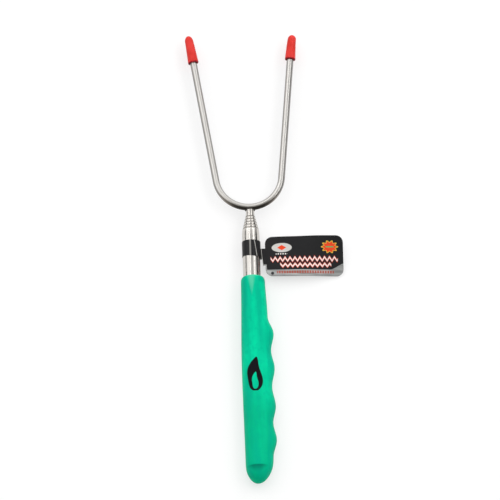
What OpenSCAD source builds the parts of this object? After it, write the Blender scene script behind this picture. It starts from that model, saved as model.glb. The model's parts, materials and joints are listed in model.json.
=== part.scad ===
// Telescoping two-tine roasting fork: grip, five sliding sections, a bent rod fork,
// two slip-on tip caps and a hang tag looped round the shaft.
// Millimetres. The shaft's centre line is the Y axis, with the tips at +Y. The origin is
// on it at the middle of the grip. +Z is up, and the finger ridges and the tag are at +X.

/* [Grip] */
// Length of the grip from its butt to its mouth
grip_len = 127.6; // [115:0.1:160]
// Grip material above and below the tube
grip_cover = 2.3; // [1.8:0.05:3]
// How much is taken off the grip's top and underside to leave each a little flat
grip_flat = 0.25; // [0.15:0.05:0.5]
// Solid grip material behind the end plug
butt_wall = 10.5; // [8:0.5:14]
// Length of the rounded butt
dome_len = 11; // [8:0.5:14]
// Grip wall on the palm side at the butt
palm_butt = 1.75; // [1.4:0.05:2.6]
// Grip wall on the palm side at its fullest
palm_belly = 2.35; // [1.6:0.05:3.5]
// Distance of the palm side's fullest place from the butt
palm_at = 72; // [60:1:84]
// Grip wall on the palm side at the mouth
palm_mouth = 1.35; // [1.2:0.05:2.6]
// Grip wall on the finger side at the butt
finger_butt = 2.45; // [1.6:0.05:3.5]
// Grip wall on the finger side where the ridges end
finger_tail = 4.05; // [2.5:0.05:5.5]
// Grip wall at the crest of a finger ridge
finger_crest = 6.35; // [4.5:0.05:8]
// Grip wall in the groove between two ridges
finger_groove = 4.5; // [2.5:0.05:6]
// Grip wall on the finger side ahead of the ridges
finger_rest = 3.1; // [2:0.05:4]
// Grip wall on the finger side at the mouth
finger_mouth = 2.15; // [1.4:0.05:3]
// Distance of each ridge's crest from the butt
crest_at = [26.6, 47.5, 71.3, 92.6];
// Length of the slope at each end of the row of ridges
ridge_run = 10.5; // [8:0.5:12]
// Depth of the rounding at the mouth's rim
rim_round = 1.1; // [0.4:0.1:1.1]
// Length of the rounding at the mouth's rim
rim_len = 2.4; // [1:0.1:4]

/* [Shaft] */
// Outer diameter of the base tube
tube_d = 10.4; // [9.4:0.1:13]
// Wall of the base tube
tube_wall = 0.57; // [0.4:0.01:0.7]
// Length of base tube that shows beyond the grip
tube_show = 30.8; // [30:0.1:45]
// Length over which the base tube's nose narrows
nose_len = 7.5; // [4:0.1:10]
// Wall of each sliding section
section_wall = 0.24; // [0.18:0.01:0.29]
// Step from one section's lip to the next, pushed in
lip_step = 1.9; // [1.5:0.05:3]
// Length over which a sliding section's lip is rolled in
crimp_len = 1.6; // [1:0.1:1.6]
// Thickness of the metal at a rolled lip
lip_edge = 0.1; // [0.05:0.01:0.15]
// Length of the last section that shows, pushed in
stub_len = 4.04; // [2:0.01:8]
// Length of the end plug inside the base tube
plug_len = 12; // [6:0.5:18]
// Thickness of the end plug's flange
flange_len = 1; // [0.6:0.1:2]

/* [Shims] */
// Length of the half-round friction shims
shim_len = 10; // [6:0.5:14]
// Thickness of the shims
shim_wall = 0.18; // [0.14:0.01:0.24]
// Angle left open at each side between two half shims
shim_split = 8; // [4:1:20]
// Length of each collar that holds the shims
collar_len = 0.8; // [0.5:0.1:1.5]
// Height of each collar above its tube
collar_rise = 0.12; // [0.08:0.01:0.13]

/* [Fork] */
// Diameter of the fork's rod
rod_d = 4; // [3.4:0.1:4.8]
// Radius of the bend, at the rod's centre line
bend_r = 19.4; // [16:0.1:24]
// Offset of the bend's centre from the shaft, to the right
bend_shift = -0.2; // [-1:0.1:1]
// Angle of the left tine from the shaft
left_splay = 8.6; // [3:0.1:14]
// Angle of the right tine from the shaft
right_splay = 5.6; // [3:0.1:14]
// Bare length of the left tine, from the bend to its cap
left_reach = 75.5; // [60:0.5:95]
// Bare length of the right tine, from the bend to its cap
right_reach = 74.6; // [60:0.1:95]
// How much the rod's radius is drawn in round the bend
bend_draw = 0.01; // [0.005:0.005:0.05]
// Radius of a tine's blunted point
point_r = 0.7; // [0.4:0.1:1.2]
// Width of the weld beyond the last section's wall
weld_rise = 0.4; // [0.2:0.05:0.8]
// Height of the weld on each side of the last section's end
weld_h = 1; // [0.6:0.1:1.4]

/* [Caps] */
// Length of the left tip cap
left_cap_len = 17.4; // [13:0.1:21]
// Length of the right tip cap
right_cap_len = 15.6; // [13:0.1:21]
// Wall of a cap at its mouth
cap_wall = 1.05; // [0.8:0.05:1.6]
// How much a cap's outer radius narrows towards its tip
cap_taper = 0.45; // [0:0.05:0.6]
// Thickness of the cap beyond the tine's point
cap_end = 1.3; // [1:0.1:2]

/* [Tag] */
// Width of the strap, along the shaft
strap_w = 9.3; // [7:0.1:12]
// Thickness of the strap
strap_t = 0.2; // [0.15:0.01:0.4]
// Distance of the strap's middle from the grip's mouth
strap_at = 17.5; // [12:0.1:17.5]
// Angle at which the strap slants round the tube
strap_slant = 6; // [0:0.5:8]
// Length of the card, away from the shaft
card_w = 45.8; // [38:0.1:56]
// Height of the card, along the shaft
card_h = 24.2; // [20:0.1:28]
// Radius of the card's corners
card_corner = 4.2; // [2:0.1:5]
// Thickness of the card
card_t = 0.5; // [0.3:0.05:0.8]
// Distance of the card's near edge from the base tube
neck_len = 2.9; // [2.5:0.1:8]
// How far the card sits below the strap's middle
card_drop = 4.35; // [0:0.05:4.5]
// Angle at which the card droops away from the shaft
card_droop = 2.4; // [0:0.1:6]
// Angle at which the card is turned about its length
card_turn = 11; // [0:0.5:20]

/* [Fits] */
// Clearance between the base tube and the grip's bore
bore_fit = 0.05; // [0.02:0.01:0.1]
// Running clearance between a shim and the tube outside it
slide_fit = 0.03; // [0.02:0.01:0.05]
// Clearance between a shim and the section that it sits on
seat_fit = 0.02; // [0.01:0.01:0.04]
// Clearance between a rolled lip and the section inside it
lip_fit = 0.05; // [0.03:0.01:0.08]
// Clearance between the end plug and the base tube
plug_fit = 0.03; // [0.02:0.01:0.08]
// Gap along the shaft between parts that seat end to end
seat_gap = 0.2; // [0.1:0.05:0.5]
// Gap at each end of a shim between its collars
shim_gap = 0.05; // [0.03:0.01:0.2]
// Clearance between a cap and its tine
cap_fit = 0.05; // [0.02:0.01:0.1]
// Clearance between the strap and the base tube
strap_fit = 0.04; // [0.03:0.01:0.1]

/* [Hidden] */
$fn = 64;

// Counts of rings and sides in the grip's skin, and of steps in a rounded profile
DOME_RINGS = 9;
BODY_RINGS = 54;
RIM_RINGS = 5;
GRIP_SIDES = 40;
ARC_STEPS = 8;
// Sides to a full turn of the fork's bend, fine enough to judge the weld's small volume by
BEND_SIDES = 360;
// How far a tine reaches into the bend
TINE_ROOT = 0.1;

// The two tines, and the first and last tube of the shaft
LEFT = 0;
RIGHT = 1;
BASE = 1;
LAST = 6;

// The handle, counted along the shaft
bore_r = tube_d / 2 + bore_fit;
butt_y = -grip_len / 2;
mouth_y = grip_len / 2;
plug_y = butt_y + butt_wall;
tube_y = plug_y + flange_len;
tube_top_y = mouth_y + tube_show;

// The sliding sections, numbered from 2, and their shims
shim_space = shim_wall + slide_fit + seat_fit;
foot_y = tube_y + plug_len + seat_gap;
shim_y = foot_y + collar_len + shim_gap;
collar_2_at = collar_len + shim_len + 2 * shim_gap;
function tube_r(k) = k == BASE ? tube_d / 2 : bore_of(k - 1) - shim_space;
function bore_of(k) = tube_r(k) - (k == BASE ? tube_wall : section_wall);
function top_y(k) = k == LAST ? top_y(LAST - 1) + stub_len : tube_top_y + (k - BASE) * lip_step;

// The fork
rod_r = rod_d / 2;
bend_y = top_y(LAST) + rod_r + bend_r;
turn = [left_splay, -right_splay];
hand = [-1, 1];
reach = [left_reach, right_reach];
cap_len = [left_cap_len, right_cap_len];
function point_len(side) = cap_len[side] - cap_end - point_r - seat_gap;

// The tag
strap_r = tube_d / 2 + strap_fit;
strap_y = mouth_y + strap_at;
card_x = tube_d / 2 + neck_len;

// The grip's outline: wall thickness against distance from the butt, eased between knots
palm_line = [[0, palm_butt], [palm_at, palm_belly], [grip_len, palm_mouth]];
finger_line = concat(
    [[0, finger_butt], [crest_at[0] - ridge_run, finger_tail]],
    [for (i = [0 : 2]) each [
        [crest_at[i], finger_crest],
        [(crest_at[i] + crest_at[i + 1]) / 2, finger_groove]
    ]],
    [[crest_at[3], finger_crest], [crest_at[3] + ridge_run, finger_rest], [grip_len, finger_mouth]]
);
cover_line = [[0, grip_cover], [grip_len, grip_cover]];

function ease(a, b, s) = a[1] + (b[1] - a[1]) * (1 - cos(180 * (s - a[0]) / (b[0] - a[0]))) / 2;
function eased(line, s, i = 0) =
    i == len(line) - 2 || s <= line[i + 1][0]
        ? ease(line[i], line[i + 1], s)
        : eased(line, s, i + 1);

// How the butt's dome scales the outline, and how much the mouth's rim takes off it
function dome(s) = s < dome_len ? sqrt(1 - pow(1 - s / dome_len, 2)) : 1;
function rim(s) =
    let (u = max(0, 1 - (grip_len - s) / rim_len))
    min(rim_round, palm_mouth - 0.1) * (1 - sqrt(1 - u * u));
function half_width(line, s) = (bore_r + eased(line, s)) * dome(s) - rim(s);

ring_at = concat(
    [for (i = [1 : DOME_RINGS]) dome_len * (1 - cos(90 * i / DOME_RINGS))],
    [for (i = [1 : BODY_RINGS]) dome_len + (grip_len - dome_len - rim_len) * i / BODY_RINGS],
    [for (i = [1 : RIM_RINGS]) grip_len - rim_len * (1 - sin(90 * i / RIM_RINGS))]
);
// The grip is flattened on top and underneath, so that it lies still
function flattened(z) =
    let (flat_z = bore_r + grip_cover - grip_flat)
    max(-flat_z, min(flat_z, z));

function grip_ring(s) = [
    for (j = [0 : GRIP_SIDES - 1])
        let (a = 360 * (j + 0.5) / GRIP_SIDES)
        [
            half_width(cos(a) > 0 ? finger_line : palm_line, s) * cos(a),
            butt_y + s,
            flattened(half_width(cover_line, s) * sin(a))
        ]
];

// A quarter ellipse that brings radius r0 in to r1 over the last length of a tube
function rolled(r0, r1, z0, z1) = [
    for (i = [0 : ARC_STEPS])
        let (t = 90 * i / ARC_STEPS)
        [r0 - (r0 - r1) * (1 - cos(t)), z0 + (z1 - z0) * sin(t)]
];
function reversed(list) = [for (i = [len(list) - 1 : -1 : 0]) list[i]];

// Puts something turned about Z on the shaft, or on a tine at its tangent to the bend
module on_shaft(y) translate([0, y, 0]) rotate([-90, 0, 0]) children();

module on_tine(side, along)
    translate([bend_shift, bend_y, 0])
        rotate([0, 0, turn[side]])
            translate([hand[side] * bend_r, along, 0])
                rotate([-90, 0, 0])
                    children();

module grip_skin() {
    rings = len(ring_at);
    n = GRIP_SIDES;
    points = concat(
        [[0, butt_y, 0]],
        [for (s = ring_at) each grip_ring(s)],
        [[0, mouth_y, 0]]
    );
    mouth = rings * n + 1;
    butt_fan = [for (j = [0 : n - 1]) [0, 1 + j, 1 + (j + 1) % n]];
    skin = [
        for (i = [0 : rings - 2]) for (j = [0 : n - 1])
            let (a = 1 + i * n + j, b = 1 + i * n + (j + 1) % n)
            each [[a, a + n, b], [b, a + n, b + n]]
    ];
    mouth_fan = [for (j = [0 : n - 1]) [mouth, mouth - n + (j + 1) % n, mouth - n + j]];
    polyhedron(points, concat(butt_fan, skin, mouth_fan));
}

module grip() color("#00c48e") difference() {
    grip_skin();
    on_shaft(plug_y) cylinder(h = grip_len, r = bore_r);
}

// A turned tube from z = 0 whose top is rolled in over the tube that slides in it
module rolled_tube(r, wall, length, roll_len, lip_r) rotate_extrude() polygon(concat(
    [[r - wall, 0], [r, 0]],
    rolled(r, lip_r + lip_edge, length - roll_len, length),
    reversed(rolled(r - wall, lip_r, length - roll_len, length))
));

module base_tube() color("#c9c5bd") on_shaft(tube_y)
    rolled_tube(tube_r(BASE), tube_wall, tube_top_y - tube_y, nose_len, tube_r(2) + lip_fit);

module end_plug() color("#242628") on_shaft(plug_y) {
    cylinder(h = flange_len, r = tube_d / 2);
    cylinder(h = flange_len + plug_len, r = bore_of(BASE) - plug_fit);
}

// A ring standing out from a section's wall, below or above its shims
module collar(k) difference() {
    cylinder(h = collar_len, r = tube_r(k) + collar_rise);
    translate([0, 0, -1]) cylinder(h = collar_len + 2, r = tube_r(k) - section_wall / 2);
}

module section(k) color("#d4d0c8") on_shaft(foot_y) {
    length = top_y(k) - foot_y;
    collar(k);
    translate([0, 0, collar_2_at]) collar(k);
    if (k < LAST)
        rolled_tube(tube_r(k), section_wall, length, crimp_len, tube_r(k + 1) + lip_fit);
    else
        difference() {
            cylinder(h = length, r = tube_r(k));
            translate([0, 0, -1]) cylinder(h = length + 2, r = bore_of(k));
        }
}

// Half of the friction shim round section k, on top of it (1) or under it (-1)
module shim(k, over) color("#c9a24a") on_shaft(shim_y)
    rotate([0, 0, shim_split / 2 + (over > 0 ? 180 : 0)])
        rotate_extrude(angle = 180 - shim_split)
            translate([tube_r(k) + seat_fit, 0])
                square([shim_wall, shim_len]);

module bend()
    translate([bend_shift, bend_y, 0])
        rotate([0, 0, 180 + left_splay])
            rotate_extrude(angle = 180 - left_splay - right_splay, $fn = BEND_SIDES)
                translate([bend_r, 0])
                    circle(r = rod_r - bend_draw, $fn = 128);

// A straight tine: a plain rod as far as its cap, then a long point. It starts just
// inside the bend, which is drawn in a little, so that the two join.
module tine(side) on_tine(side, 0) {
    translate([0, 0, -TINE_ROOT]) cylinder(h = TINE_ROOT + reach[side], r = rod_r);
    translate([0, 0, reach[side]]) cylinder(h = point_len(side), r1 = rod_r, r2 = point_r);
    translate([0, 0, reach[side] + point_len(side)]) sphere(r = point_r);
}

module fork() color("#cfcbc3") {
    bend();
    tine(LEFT);
    tine(RIGHT);
}

// The weld fills the corner between the last section's flat end and the bend
module weld_bead() color("#4b4541") difference() {
    r = tube_r(LAST);
    on_shaft(top_y(LAST)) rotate_extrude($fn = 128) polygon([
        [0, 0],
        [r, 0],
        [r, -0.8 * weld_h],
        [r + weld_rise, -0.3 * weld_h],
        [r + weld_rise, 0.4 * weld_h],
        [r - weld_rise, 1.3 * weld_h],
        [0, 1.3 * weld_h]
    ]);
    bend();
}

module cap(side) color("#e0362c") on_tine(side, reach[side]) {
    mouth_r = rod_r + cap_wall;
    dome_r = mouth_r - cap_taper;
    lip = cap_wall / 4;
    hollow = point_len(side) + point_r + seat_gap;
    rotate_extrude() polygon(concat(
        [
            [0, hollow],
            [point_r + cap_fit, hollow],
            [point_r + cap_fit, point_len(side)],
            [rod_r + cap_fit, 0],
            [mouth_r - lip, 0],
            [mouth_r, lip]
        ],
        [
            for (i = [0 : ARC_STEPS])
                let (t = 90 * i / ARC_STEPS)
                [dome_r * cos(t), cap_len[side] - dome_r * (1 - sin(t))]
        ]
    ));
}

// The card's outline, with its middle at the origin
module rounded_card() {
    square([card_w - 2 * card_corner, card_h], center = true);
    square([card_w, card_h - 2 * card_corner], center = true);
    for (x = [-1, 1], y = [-1, 1])
        translate([x * (card_w / 2 - card_corner), y * (card_h / 2 - card_corner)])
            circle(r = card_corner);
}

module hang_tag() color("#262626") {
    intersection() {
        on_shaft(strap_y - strap_w) difference() {
            cylinder(h = 2 * strap_w, r = strap_r + strap_t);
            translate([0, 0, -1]) cylinder(h = 2 * strap_w + 2, r = strap_r);
        }
        translate([0, strap_y, 0])
            rotate([0, 0, -strap_slant])
                cube([4 * strap_r, strap_w, 4 * strap_r], center = true);
    }
    difference() {
        translate([0, strap_y - card_drop, 0]) rotate([card_turn, card_droop, 0])
            linear_extrude(card_t, center = true) {
                translate([card_x + card_w / 2, 0]) rounded_card();
                translate([0, -strap_w / 2]) square([card_x + card_corner, strap_w]);
            }
        on_shaft(strap_y - card_h) cylinder(h = 2 * card_h, r = strap_r);
    }
}

grip();
base_tube();
end_plug();
section(2);  // section_2
section(3);  // section_3
section(4);  // section_4
section(5);  // section_5
section(6);  // section_6
shim(2, 1);  // shim_2_upper
shim(2, -1);  // shim_2_lower
shim(3, 1);  // shim_3_upper
shim(3, -1);  // shim_3_lower
shim(4, 1);  // shim_4_upper
shim(4, -1);  // shim_4_lower
shim(5, 1);  // shim_5_upper
shim(5, -1);  // shim_5_lower
shim(6, 1);  // shim_6_upper
shim(6, -1);  // shim_6_lower
fork();
weld_bead();
cap(LEFT);  // left_cap
cap(RIGHT);  // right_cap
hang_tag();
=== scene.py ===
import json
from math import atan2, cos, degrees, pi, radians, sin, sqrt

import bmesh
import bpy
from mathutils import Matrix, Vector
from mathutils.bvhtree import BVHTree


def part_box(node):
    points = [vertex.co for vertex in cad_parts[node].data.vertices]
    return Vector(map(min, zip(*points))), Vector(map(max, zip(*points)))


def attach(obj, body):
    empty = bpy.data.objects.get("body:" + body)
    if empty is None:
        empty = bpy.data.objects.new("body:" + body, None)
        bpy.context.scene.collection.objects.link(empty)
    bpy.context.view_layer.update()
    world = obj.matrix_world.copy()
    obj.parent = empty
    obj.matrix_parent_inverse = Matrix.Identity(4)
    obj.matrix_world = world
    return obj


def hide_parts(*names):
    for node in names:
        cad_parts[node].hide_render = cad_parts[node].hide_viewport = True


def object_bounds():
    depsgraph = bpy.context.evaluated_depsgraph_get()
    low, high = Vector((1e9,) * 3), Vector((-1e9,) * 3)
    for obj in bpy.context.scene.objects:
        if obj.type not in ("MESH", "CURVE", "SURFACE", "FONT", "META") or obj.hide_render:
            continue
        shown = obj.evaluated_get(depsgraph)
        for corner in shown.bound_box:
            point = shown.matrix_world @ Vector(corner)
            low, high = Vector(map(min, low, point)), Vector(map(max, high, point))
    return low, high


# Looks of the telescoping roasting fork, in metres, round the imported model.
# The shaft lies along Y with the tips at +Y, and the finger ridges and the tag are at +X.
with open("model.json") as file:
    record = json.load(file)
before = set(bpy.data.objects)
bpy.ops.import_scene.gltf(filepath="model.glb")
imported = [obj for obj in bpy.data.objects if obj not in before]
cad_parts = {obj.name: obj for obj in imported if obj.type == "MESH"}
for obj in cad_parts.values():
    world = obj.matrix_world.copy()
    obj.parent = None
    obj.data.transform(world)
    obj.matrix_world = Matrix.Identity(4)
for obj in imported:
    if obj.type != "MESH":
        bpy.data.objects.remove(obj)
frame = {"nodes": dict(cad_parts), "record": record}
cadLow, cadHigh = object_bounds()
nodes = frame["nodes"]
mm = 0.001
print("frame loaded:", len(nodes), "nodes")

# The view: a long lens from above the handle's end, nearly without perspective
view = {
    "imageSize": (500, 500),
    "aim": (-0.00072, 0.08139, 0),
    "azimuth": -1.667,
    "elevation": 70,
    "distance": 9.791,
    "lens": 1200,
    "sensor": 36,
    "shift": (0, 0),
    "clipEnd": 50,
}

# Where things show in the photograph. The tag's print and the flame are generic, and have no point.
imagePoints = {
    "left": 184.3,
    "right": 343.6,
    "top": 34.8,
    "bottom": 482.5,
    "leftCap": (191.2, 50.2),
    "rightCap": (290.6, 47.7),
    "bend": (249.3, 207.6),
    "noseLip": (250.2, 226.1),
    "strap": (251.8, 249.0),
    "card": (304.4, 256.1),
    "gripMouth": (252.8, 274.7),
    "frontRidge": (273.5, 334.5),
    "rearRidge": (276.4, 441.0),
    "tubeEnd": (257.8, 465.6),
    "eyelet": (272.6, 273.2),
}


def addCamera():
    azimuth, elevation = radians(view["azimuth"]), radians(view["elevation"])
    back = Vector((sin(azimuth) * cos(elevation), -cos(azimuth) * cos(elevation), sin(elevation)))
    bpy.ops.object.camera_add(
        location=Vector(view["aim"]) + back * view["distance"],
        rotation=(-back).to_track_quat("-Z", "Y").to_euler(),
    )
    camera = bpy.context.object
    camera.name = "camera"
    camera.data.sensor_fit = "AUTO"
    camera.data.sensor_width = view["sensor"]
    camera.data.lens = view["lens"]
    camera.data.shift_x, camera.data.shift_y = view["shift"]
    camera.data.clip_end = view["clipEnd"]
    bpy.context.scene.camera = camera
    bpy.context.view_layer.update()
    return camera


camera = addCamera()
bpy.context.scene.view_settings.view_transform = "Standard"


def treeOf(piece):
    return BVHTree.FromObject(piece, bpy.context.evaluated_depsgraph_get())


def placeAt(carrier, point):
    # Where the sight line through an image point meets the carrier, or comes nearest to it
    width, height = view["imageSize"]
    size = max(width, height)
    shiftX, shiftY = view["shift"]
    depth = -size * view["lens"] / view["sensor"]
    ray = Vector((point[0] - width / 2 + shiftX * size, height / 2 - point[1] + shiftY * size, depth))
    start = camera.matrix_world.translation
    way = (camera.matrix_world.to_3x3() @ ray).normalized()
    hit = treeOf(carrier).ray_cast(start, way)[0]
    if hit is None:
        places = [v.co for v in carrier.data.vertices]
        hit = min(places, key=lambda p: (p - start).cross(way).length)
    return Vector(hit)


def imageOf(place):
    # The opposite of a sight line: where a place shows in the picture
    width, height = view["imageSize"]
    size = max(width, height)
    seen = camera.matrix_world.inverted() @ Vector(place)
    scale = size * view["lens"] / view["sensor"] / -seen.z
    return (
        width / 2 - view["shift"][0] * size + seen.x * scale,
        height / 2 + view["shift"][1] * size - seen.y * scale,
    )


# Shader maths
class Wire:
    # One output of a node. Arithmetic on it adds Math nodes.
    def __init__(self, paint, socket):
        self.paint, self.socket = paint, socket

    def math(self, operation, *values):
        return self.paint.node("ShaderNodeMath", {"operation": operation}, dict(enumerate(values)))

    def __add__(self, other):
        return self.math("ADD", self, other)

    def __radd__(self, other):
        return self.math("ADD", other, self)

    def __sub__(self, other):
        return self.math("SUBTRACT", self, other)

    def __rsub__(self, other):
        return self.math("SUBTRACT", other, self)

    def __mul__(self, other):
        return self.math("MULTIPLY", self, other)

    def __rmul__(self, other):
        return self.math("MULTIPLY", other, self)

    def __truediv__(self, other):
        return self.math("DIVIDE", self, other)

    def __pow__(self, other):
        return self.math("POWER", self, other)

    def __abs__(self):
        return self.math("ABSOLUTE", self)

    def root(self):
        return self.math("SQRT", self)

    def wave(self):
        return self.math("COSINE", self)

    def least(self, other):
        return self.math("MINIMUM", self, other)

    def most(self, other):
        return self.math("MAXIMUM", self, other)

    def rise(self, start, end):
        # 0 before start, 1 past end, smooth between; start may be the larger
        if start > end:
            return 1 - self.rise(end, start)
        settings = {"interpolation_type": "SMOOTHSTEP"}
        return self.paint.node("ShaderNodeMapRange", settings, {0: self, 1: start, 2: end})

    def near(self, middle, reach, edge):
        # 1 within the reach of the middle, falling to 0 over a narrow edge
        return abs(self - middle).rise(reach + edge / 2, reach - edge / 2)

    def repeat(self, pitch):
        # Runs from 0 to 1 over each pitch
        return self.math("FRACT", self / pitch)


class Paint:
    # A node tree of a material or of the world
    def __init__(self, owner):
        owner.use_nodes = True
        self.owner, self.tree = owner, owner.node_tree
        self.tree.nodes.clear()

    def node(self, kind, settings=None, sockets=None, output=0):
        made = self.tree.nodes.new(kind)
        for name, value in (settings or {}).items():
            if name == "stops":
                self.setStops(made.color_ramp, value)
            else:
                setattr(made, name, value)
        for key, value in (sockets or {}).items():
            if isinstance(value, Wire):
                self.tree.links.new(value.socket, made.inputs[key])
            elif isinstance(value, (tuple, list)) and made.inputs[key].type == "RGBA":
                made.inputs[key].default_value = (*value, 1)
            else:
                made.inputs[key].default_value = value
        return Wire(self, made.outputs[output] if made.outputs else None)

    def setStops(self, ramp, stops):
        while len(ramp.elements) < len(stops):
            ramp.elements.new(0.5)
        for element, (place, shade) in zip(ramp.elements, stops):
            element.position = place
            element.color = (shade, shade, shade, 1)

    def coordinates(self, kind="Object"):
        kinds = ["Generated", "Normal", "UV", "Object"]
        return self.node("ShaderNodeTexCoord", output=kinds.index(kind))

    def parts(self, vector):
        return [self.node("ShaderNodeSeparateXYZ", {}, {0: vector}, i) for i in range(3)]

    def stretched(self, vector, scale):
        return self.node("ShaderNodeMapping", {}, {0: vector, 3: scale})

    def noise(self, vector, scale, detail=2, roughness=0.5):
        sockets = {"Vector": vector, "Scale": scale, "Detail": detail, "Roughness": roughness}
        return self.node("ShaderNodeTexNoise", {}, sockets)

    def blend(self, factor, under, over):
        return self.node("ShaderNodeMix", {"data_type": "RGBA"}, {0: factor, 6: under, 7: over}, 2)

    def bump(self, height, distance, strength):
        sockets = {"Height": height, "Distance": distance, "Strength": strength}
        return self.node("ShaderNodeBump", {}, sockets)

    def surface(self, **sockets):
        named = {key.replace("_", " "): value for key, value in sockets.items()}
        return self.node("ShaderNodeBsdfPrincipled", {}, named)

    def finish(self, shader):
        kind = "World" if isinstance(self.owner, bpy.types.World) else "Material"
        self.node("ShaderNodeOutput" + kind, {}, {"Surface": shader})
        return self.owner


def newPaint(name):
    return Paint(bpy.data.materials.new(name))


# Studio
studio = {
    "lampDistance": 1.6,
    "lampAlong": 0.70,
    "lampLength": 1.9,
    # each lamp: degrees from straight up towards +X, width across, brightness
    "lamps": {
        "leftPanel": (-48, 1.20, 0.92),
        "leftStrip": (-18, 0.17, 3.0),
        "rightStrip": (34, 0.20, 2.9),
        "rightPanel": (52, 0.42, 0.80),
    },
    # a wide soft lamp that metal doesn't mirror: degrees from straight up, distance, size, brightness
    "fill": (22, 2.2, 3.2, 0.85),
    # the sky's brightness against height: white at the horizon, then a dark band, then grey
    "sky": [
        (0.0, 1.0), (0.5, 1.0), (0.53, 0.9), (0.565, 0.05), (0.665, 0.05), (0.75, 0.45), (1.0, 0.62),
    ],
    # its parts that are dimmed or lit, by direction: z is height, x the right side and y ahead;
    # straight behind, past farY, it is dimmed less
    "lowRight": {"z": (0.46, 0.34), "x": (0.3, 0.5), "dimmed": 0.92},
    "behind": {
        "y": (-0.04, -0.30), "x": (0.52, 0.28), "dimmed": 0.78, "farY": (-0.70, -0.90), "farLess": 0.6,
    },
    "ahead": {"y": (0.42, 0.58), "z": (0.05, 0.15), "brightness": 1.15},
    "floorSize": 16,
    "floorColour": (0.95, 0.95, 0.95),
    "nearWhite": 0.62,
    "farStart": 0.35,
    "farEnd": 1.1,
}


def addLamp(name, place, turn, size, brightness):
    bpy.ops.object.light_add(type="AREA", location=place, rotation=(0, turn, 0))
    lamp = bpy.context.object
    lamp.name = name
    lamp.data.shape = "RECTANGLE"
    lamp.data.size, lamp.data.size_y = size
    lamp.data.energy = brightness * pi * size[0] * size[1]
    return lamp


def addLamps():
    reach, along = studio["lampDistance"], studio["lampAlong"]
    for name, (angle, width, brightness) in studio["lamps"].items():
        turn = radians(angle)
        place = (sin(turn) * reach, along, cos(turn) * reach)
        addLamp(name, place, turn, (width, studio["lampLength"]), brightness)
    angle, away, size, brightness = studio["fill"]
    turn = radians(angle)
    place = (sin(turn) * away, 0, cos(turn) * away)
    addLamp("fill", place, turn, (size, size), brightness).visible_glossy = False


def addSky():
    # Dark behind the camera and low on the right, bright ahead; the camera itself sees white
    sky = Paint(bpy.data.worlds.new("sky"))
    x, y, z = sky.parts(sky.coordinates("Generated"))
    shade = sky.node("ShaderNodeValToRGB", {"stops": studio["sky"]}, {0: z * 0.5 + 0.5})
    right, back, front = studio["lowRight"], studio["behind"], studio["ahead"]
    lowRight = z.rise(*right["z"]) * x.rise(*right["x"])
    far = y.rise(*back["farY"]) * back["farLess"]
    behind = y.rise(*back["y"]) * abs(x).rise(*back["x"]) * (1 - far)
    kept = (1 - lowRight * right["dimmed"]) * (1 - behind * back["dimmed"])
    shade = sky.blend(kept, (0, 0, 0), shade)
    ahead = y.rise(*front["y"]) * z.rise(*front["z"])
    shade = sky.blend(ahead, shade, (front["brightness"],) * 3)
    shade = sky.blend(sky.node("ShaderNodeLightPath"), shade, (1, 1, 1))
    light = sky.node("ShaderNodeBackground", {}, {"Color": shade})
    bpy.context.scene.world = sky.finish(light)


def addFloor():
    # Partly lit near the fork, so that it keeps the shadow; white to the eye far from it
    bpy.ops.mesh.primitive_plane_add(size=studio["floorSize"], location=(0, 0, cadLow.z))
    floor = bpy.context.object
    floor.name = "floor"
    bpy.ops.object.transform_apply(location=True)
    paint = newPaint("paleFloor")
    x, y = paint.parts(paint.coordinates())[:2]
    away = (x * x + y * y).root()
    # camera, glossy and transmission rays
    seen = [paint.node("ShaderNodeLightPath", output=i) for i in (0, 3, 6)]
    looked = seen[0].most(seen[1]).most(seen[2])
    lit = paint.node("ShaderNodeBsdfDiffuse", {}, {"Color": studio["floorColour"]})
    white = paint.node("ShaderNodeEmission", {}, {"Color": (1, 1, 1), "Strength": 1.0})
    near = studio["nearWhite"]
    share = (near + (1 - near) * away.rise(studio["farStart"], studio["farEnd"])) * looked
    surface = paint.node("ShaderNodeMixShader", {}, {0: share, 1: lit, 2: white})
    floor.data.materials.append(paint.finish(surface))


addLamps()
addSky()
addFloor()
print("studio set")


# Hand tools
hair = 0.000002  # places nearer than this are taken for the same place
doubleGap = 0.000005  # vertices nearer than this are merged


def letGo():
    if bpy.context.mode != "OBJECT":
        bpy.ops.object.mode_set(mode="OBJECT")
    bpy.ops.object.select_all(action="DESELECT")


def takeUp(piece, name=None):
    letGo()
    bpy.context.view_layer.objects.active = piece
    piece.select_set(True)
    if name:
        piece.name = piece.data.name = name
    return piece


def openUp(piece):
    # Edit mode with every vertex taken
    takeUp(piece)
    bpy.ops.object.mode_set(mode="EDIT")
    bpy.ops.mesh.select_mode(type="VERT")
    bpy.ops.mesh.select_all(action="SELECT")


def pick(piece, kind, test):
    # In edit mode, selects just the vertices, edges or faces that pass the test
    bpy.ops.mesh.select_mode(type=kind)
    bpy.ops.mesh.select_all(action="DESELECT")
    cage = bmesh.from_edit_mesh(piece.data)
    for part in {"VERT": cage.verts, "EDGE": cage.edges, "FACE": cage.faces}[kind]:
        if test(part):
            part.select_set(True)
    cage.select_flush_mode()
    bmesh.update_edit_mesh(piece.data)


def resize(value, centre):
    bpy.ops.transform.resize(value=value, center_override=centre)


def extrude(by):
    bpy.ops.mesh.extrude_region_move(TRANSFORM_OT_translate={"value": by})


def shift(by):
    bpy.ops.transform.translate(value=by)


def cutAcross(piece, axis, places):
    # Cuts the whole mesh square to an axis at each place
    for place in places:
        bpy.ops.mesh.select_all(action="SELECT")
        centre, normal = [0, 0, 0], [0, 0, 0]
        centre[axis], normal[axis] = place, 1
        bpy.ops.mesh.bisect(plane_co=centre, plane_no=normal)


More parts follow.
